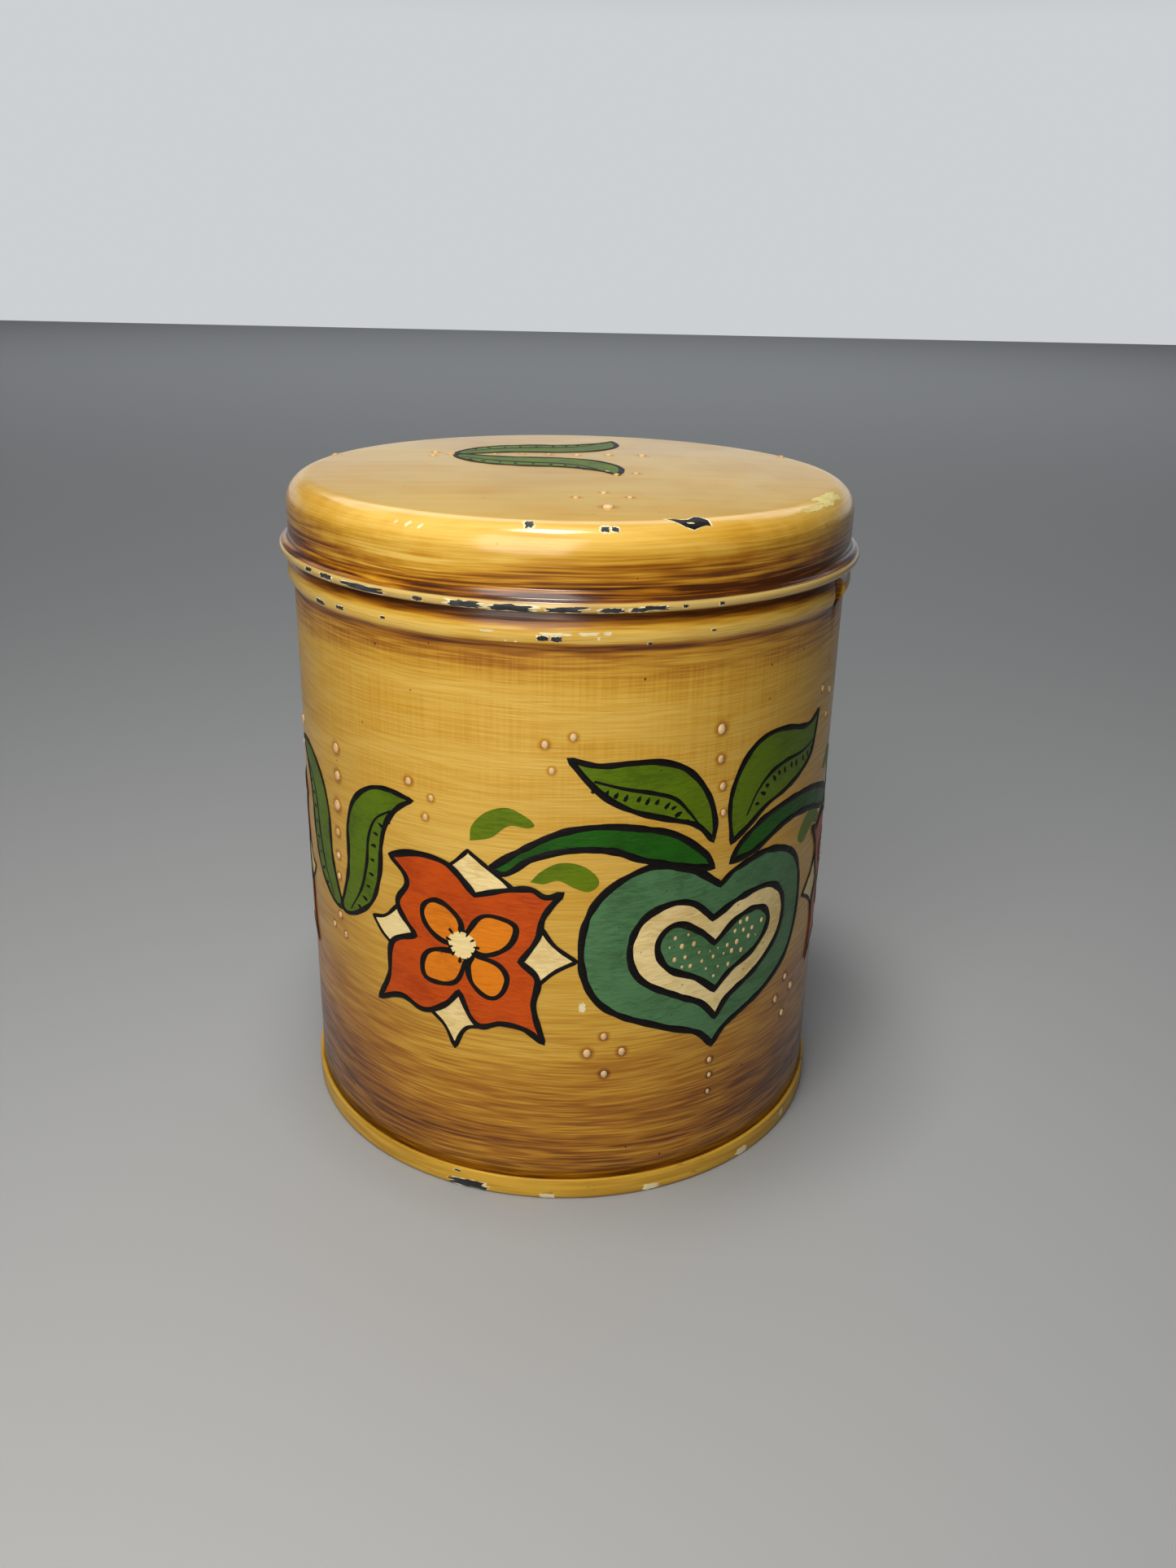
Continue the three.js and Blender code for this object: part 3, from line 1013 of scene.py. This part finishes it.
def drawLeaf(bm, outline, vein, width, corners, place, side, count, gaps=(1.6, None)):
    edge = easeLine(outline, corners)
    patch(bm, edge, leaves["level"], 0, place, gaps)
    stroke(bm, edge, width, leaves["level"], 1, place, seed=2)
    middle = easeLine(vein, closed=False)
    stroke(
        bm, middle, width * 0.8, leaves["veinLevel"], 1, place,
        closed=False, taper=(0.5, 0.6), seed=5,
    )
    ticks(bm, middle, side, count, place)


def makeHeart(name, x0):
    place = shifted(onWall, x0, layout["heartHigh"])
    bm = bmesh.new()
    for part, fill in (("outer", 0), ("middle", 2), ("inner", 0)):
        level = heart["levels"][part]
        edge = easeLine(heart[part], heart[part + "Corners"])
        patch(bm, edge, level, fill, place)
        stroke(bm, edge, heart["line"], level, 1, place, seed=level * 40)
    painted(bm, name, ["teal", "black", "cream"], "tin")


def makeSprig(name, x0):
    # the two leaves, two stems and four loose dabs that spring from a heart
    high = layout["heartHigh"]
    place = shifted(onWall, x0, high)
    bm = bmesh.new()
    for side in ("left", "right"):
        edge = easeLine(stems[side], stems["corners"][side])
        patch(bm, edge, stems["level"], 2, place)
        stroke(bm, edge, stems["line"], stems["level"], 1, place, seed=3)
    drawLeaf(bm, leaves["left"], leaves["leftVein"], leaves["line"], (0, 7), place, -1, 11)
    drawLeaf(bm, leaves["right"], leaves["rightVein"], leaves["line"], (0, 8), place, 1, 11)
    for flip, off in ((1, 0), (-1, commas["offset"])):
        other = shifted(onWall, x0 - off, high - off, flip)
        for part in ("high", "low"):
            patch(bm, easeLine(commas[part], (0,)), commas["level"], 3, other)
    painted(bm, name, ["leaf", "black", "stem", "comma"], "tin")


def makeFlower(name, x0, flip):
    place = shifted(onWall, x0, layout["flowerHigh"], flip)
    levels, lines = flower["levels"], flower["lines"]
    bm = bmesh.new()
    layers = [("star", flower["star"], flower["starCorners"], 2, 7)]
    layers += [("petals", flower["petals"], flower["petalCorners"], 0, 9)]
    layers += [("lobes", outline, (0,), 3, outline[0][0]) for outline in flower["lobes"]]
    for part, outline, corners, fill, seed in layers:
        edge = easeLine(outline, corners)
        patch(bm, edge, levels[part], fill, place)
        stroke(bm, edge, lines[part], levels[part], 1, place, seed=seed)
    middle = [(3.1 * math.cos(t) * (1 + 0.12 * math.sin(3 * t)), 3.2 * math.sin(t)) for t in wholeTurn(12)]
    patch(bm, easeLine(middle), levels["middle"], 2, place)
    for i, t in enumerate(wholeTurn(flower["dabs"])):
        start = Vector((math.cos(t), math.sin(t), 0)) * (2.6 + 0.4 * math.sin(5 * i))
        line = [start * (1 + 0.13 * k) for k in range(5)]
        stroke(
            bm, line, lines["dabs"], levels["dabs"], 1, place,
            closed=False, taper=(0.5, 0.1), seed=i,
        )
    painted(bm, name, ["orange", "black", "cream", "amber"], "tin")


def makeLeafPair(name, place, body, gaps):
    bm = bmesh.new()
    for flip in (1, -1):
        half = shifted(place, 0, 0, flip)
        drawLeaf(
            bm, curledLeaf["outline"], curledLeaf["vein"], curledLeaf["line"], (0, 8), half, 1, 9, gaps,
        )
    painted(bm, name, ["leaf", "black"], body)


for number, x0 in enumerate(layout["hearts"], 1):
    makeSprig(f"painted_sprig_{number}", x0)
    makeHeart(f"painted_heart_{number}", x0)
for number, (x0, flip) in enumerate(layout["flowers"], 1):
    makeFlower(f"painted_flower_{number}", x0, flip)
for number, x0 in enumerate(layout["columns"], 1):
    place = shifted(onWall, x0, layout["columnHigh"])
    makeLeafPair(f"painted_leaf_pair_{number}", place, "tin", (1.6, None))
lidPlace = shifted(onLid, *layout["lidPair"], turn=-math.pi / 2, size=layout["lidPairSize"])
makeLeafPair("painted_lid_leaves", lidPlace, "lid", (4, 4))
print("motifs")


# Raised drops of cream paint, and the brown glaze that gathers round them
drops = {
    "column": [(1, 37.4, 1.25), (1.1, 31, 1.25), (0.3, 23.7, 1.35), (-0.2, 17, 1.05), (-0.5, 11.2, 0.95),
               (-0.8, 5.9, 0.85), (-1.3, -4.2, 0.85), (-4.7, -8, 0.75), (1, -8.3, 0.75)],
    "columnSides": [(24.2, 36.2, 0.95), (29.7, 33.5, 0.75), (28.2, 29, 0.8)],
    "heart": [(-2.3, 51, 1.2), (-2, 44.4, 1.0), (-1.1, 38.2, 0.9), (-0.5, 32.2, 0.75), (0, -29, 0.8),
              (0.2, -33.1, 0.7), (0, -37.5, 0.6)],
    "heartSides": [(-39.4, 50, 0.9), (-33.8, 51.7, 0.85), (-38, 44.5, 0.75), (-26.1, -17.5, 0.9),
                   (-29.7, -21.6, 1.1), (-22, -21.7, 0.95), (-25.8, -27.2, 0.95)],  # x, y, radius
    "lidRow": [(-33, 20.5, 1.1), (-33, 14.5, 0.9), (-29, 17.5, 0.9), (-18.5, 18, 0.75), (-12, 18.5, 0.75),
               (-5.5, 18.5, 0.8), (1.3, 18.5, 0.85), (9, 19.5, 0.95), (17, 20, 1.2), (8, -6, 0.8),
               (10, -10, 0.95), (14.5, -7.5, 0.85), (1, -37, 0.95), (6.7, -31.5, 0.85), (12, -36, 0.85),
               (7.3, -46, 1.35), (-57, 18, 0.9), (52, 27, 0.9)],
    "sizes": (0.84, 0.96),  # each is a little smaller than its radius
    "haloWide": 1.9,
    "haloShare": 0.8,
    "high": {"wall": 0.5, "lid": 0.4, "heart": 0.65},  # height against half its width
}


def drop(target, place, x, y, radius, high):
    part = bmesh.new()
    bmesh.ops.create_icosphere(part, subdivisions=2, radius=radius)
    bmesh.ops.scale(part, vec=(0.9, 1.12, high), verts=part.verts)
    laid(part, 0, shifted(place, x, y), target)


def halo(target, place, x, y, radius):
    # a thin disc in the paint below, brown in the middle and fading out at its rim
    part = bmesh.new()
    bmesh.ops.create_cone(
        part, cap_ends=True, cap_tris=True, segments=24, radius1=radius, radius2=radius, depth=0.2,
    )
    layer = part.verts.layers.float.new("glaze")
    for vert in part.verts:
        vert[layer] = drops["haloShare"] if vert.co.xy.length < 0.01 else 0.0
        vert.co.z = 0.03 if vert.co.z > 0 else -0.1
    laid(part, 0, shifted(place, x, y), target)


def makeDrops(name, groups, body, under, high):
    chance = random.Random(4)
    caps, rings = bmesh.new(), bmesh.new()
    rings.verts.layers.float.new("glaze")
    for place, spots in groups:
        for x, y, radius in spots:
            drop(caps, place, x, y, radius * chance.uniform(*drops["sizes"]), high)
            halo(rings, place, x, y, radius * drops["haloWide"])
    painted(caps, name, ["drop"], body)
    painted(rings, name + "_glaze", [under], body)


def heartSeeds():
    # small drops scattered in rows over the inner heart
    chance = random.Random(11)
    inner = [point.xy for point in easeLine(heart["inner"], heart["innerCorners"])]
    spots = []
    for row in range(8):
        for column in range(14):
            x = -16 + 2.75 * column + 1.4 * (row % 2) + chance.uniform(-0.5, 0.5)
            y = -9.5 + 2.35 * row + chance.uniform(-0.5, 0.5)
            edge = min((point - Vector((x, y))).length for point in inner)
            if edge > 1.5 and isInside(inner, x, y):
                spots.append((x, y, chance.uniform(0.34, 0.72)))
    return spots


def isInside(outline, x, y):
    crossings = 0
    for first, second in zip(outline, outline[1:] + outline[:1]):
        if (first.y > y) != (second.y > y):
            crossings += x < first.x + (y - first.y) / (second.y - first.y) * (second.x - first.x)
    return crossings % 2 == 1


def mirrored(spots):
    return spots + [(-x, y, radius) for x, y, radius in spots]


wallGroups = []
for motif in ("column", "heart"):
    spots = drops[motif] + mirrored(drops[motif + "Sides"])
    for x0 in layout[motif + "s"]:
        wallGroups.append((shifted(onWall, x0, layout[motif + "High"]), spots))
makeDrops("paint_drops_wall", wallGroups, "tin", "wall", drops["high"]["wall"])
makeDrops("paint_drops_lid", [(onLid, drops["lidRow"])], "lid", "lid", drops["high"]["lid"])
seeds = bmesh.new()
for x0 in layout["hearts"]:
    for x, y, radius in heartSeeds():
        drop(seeds, shifted(onWall, x0, layout["heartHigh"]), x, y, radius, drops["high"]["heart"])
painted(seeds, "paint_drops_heart", ["drop"], "tin")
print("drops")


# Chips: primer at the edge and dark metal in the middle. Places, half widths and half heights
chips = {
    "curl": [(-60, -0.1, 1.6, 0.45), (-53, 0, 2.4, 0.55), (-42, 0.25, 5.6, 0.7), (-46.5, 0.1, 2.2, 0.4),
             (-29, 0.3, 1.2, 0.5), (-19.5, 0.25, 4.0, 0.8), (-10.6, 0.3, 4.9, 0.85), (-1, 0.3, 3.4, 0.6),
             (1.5, -0.1, 2.2, 0.25), (7.5, 0.4, 2.6, 0.6), (12.5, 0.4, 2.0, 0.55), (15.5, 0.1, 3.0, 0.5),
             (21.5, 0.1, 0.6, 0.35), (29, 0.2, 0.6, 0.4), (110, 0.6, 5.0, 0.7), (150, 0.6, 3.0, 0.6),
             (-120, 0.5, 6.0, 0.7), (-170, 0.5, 2.5, 0.5)],
    "bead": [(-59, 131.8, 2.2, 0.6), (-51, 132.2, 1.6, 0.45), (-38.5, 132.6, 0.7, 0.3),
             (-2.4, 132.0, 1.3, 0.65), (-5, 132.1, 1.2, 0.6), (15.5, 130.8, 0.5, 0.4),
             (28.5, 132.6, 0.6, 0.25), (95, 132, 2, 0.6), (160, 133, 3, 0.6), (-140, 132.4, 1.8, 0.5)],
    "scuffs": [(-15.6, 132.9, 1.6, 0.25), (-2.5, 132.9, 3.2, 0.3), (3.6, 133.0, 2.0, 0.35),
               (7.2, 133.1, 0.8, 0.4), (5.6, 132.1, 0.3, 0.4), (-10, 131.0, 0.3, 0.15),
               (-12, 131.1, 0.3, 0.15)],
    "wall": [(4.1, 50, 0.75, 1.2)],
    "ring": [(-21.5, 1.4, 5.0, 1.1), (-24, 4.3, 1.0, 0.3)],
    "ringScuffs": [(-3, 0.8, 1.7, 0.55), (20.8, 1.05, 2.0, 0.8), (46.5, 1.3, 1.8, 1.0),
                   (64, 2.6, 0.8, 0.9), (120, 1.1, 3.0, 0.8), (-95, 1.1, 2.2, 0.8), (170, 1.2, 2.0, 0.9)],
    "lid": [(-7.8, -60.1, 1.2, 1.4), (6.3, -61.2, 1.1, 0.9), (8.3, -61.0, 1.0, 0.75)],
    "lidScuffs": [(-31, -54.5, 0.8, 0.3), (-28.5, -56, 0.6, 0.25), (-33.5, -53, 0.4, 0.3),
                  (20, 58, 2.2, 0.7)],
    "rubbed": [(66.5, 60.6, 7.0, 1.7), (56.5, 61.6, 5.0, 0.6)],
    "crescent": [(-4.2, 1.4), (-2.8, 1.4), (-1.4, 0.7), (0, 0.8), (1, 1.6), (1.7, 2.4), (2.6, 2), (3.9, 0.4),
                 (4, -1), (3.1, -1), (1.8, -1.4), (0.2, -2), (-1.4, -1.4), (-2.8, -0.1)],
    "crescentPlace": (22.6, -55.9),
    "crescentTurn": 0.3,
    "cuts": (0.8, 0.4),  # so that they follow the round metal
    "levels": {"rubbed": 0.02, "primer": 0.03, "bare": 0.05, "island": 0.07},
    "rimAcross": 60,  # radius at which the distance round the lid's rim is measured
}


def ragged(x, y, wide, high, chance, shrink):
    # a torn edge of short straight breaks
    line = []
    for t in wholeTurn(24):
        reach = shrink * chance.uniform(0.66, 1.12)
        reach /= max(abs(math.cos(t)), abs(math.sin(t))) ** 0.6  # fuller towards the corners
        line.append(Vector((x + wide * reach * math.cos(t), y + high * reach * math.sin(t), 0)))
    return line


def onRim(x, y, h):
    # x runs round the lid's shoulder and y out from its middle
    turn = x / chips["rimAcross"]
    return onLid(y * math.sin(turn), -y * math.cos(turn), h)


def chipInto(bm, edge, level, material, place):
    patch(bm, edge, chips["levels"][level], material, place, chips["cuts"])


def makeChips(name, body, groups):
    # bare is the size of the dark middle against the chip's, or 0 for a scuff
    chance = random.Random(21)
    bm = bmesh.new()
    for place, spots, bare in groups:
        for x, y, wide, high in spots:
            chipInto(bm, ragged(x, y, wide, high, chance, 1.05), "primer", 0, place)
            if bare:
                chipInto(bm, ragged(x + 0.1, y - 0.08, wide, high, chance, bare), "bare", 1, place)
    if body == "lid":
        place = shifted(onLid, *chips["crescentPlace"], turn=chips["crescentTurn"])
        corners = range(len(chips["crescent"]))
        edge = [(x * 1.12 - 0.1, y * 1.15 + 0.15) for x, y in chips["crescent"]]
        chipInto(bm, easeLine(edge, corners), "primer", 0, place)
        chipInto(bm, easeLine(chips["crescent"], corners), "bare", 3, place)
        chipInto(bm, ragged(0, -0.5, 0.8, 0.22, chance, 1), "island", 0, place)
        for x, y, wide, high in chips["rubbed"]:
            edge = [spot.xy for spot in ragged(x, y, wide, high, chance, 1.0)]
            chipInto(bm, easeLine(edge), "rubbed", 2, onRim)
    piece = finishMesh(bm, name, ["primer", "steel", "rubbed", "black"], 50)
    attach(piece, body)


makeChips(
    "chips_lid", "lid",
    [(onCurl, chips["curl"], 0.9), (onLid, chips["lid"], 0.72), (onLid, chips["lidScuffs"], 0)],
)
makeChips(
    "chips_tin", "tin",
    [(onWall, chips["bead"], 0.9), (onWall, chips["wall"] + chips["scuffs"], 0),
     (onRing, chips["ring"], 0.9), (onRing, chips["ringScuffs"], 0)],
)
print("chips")
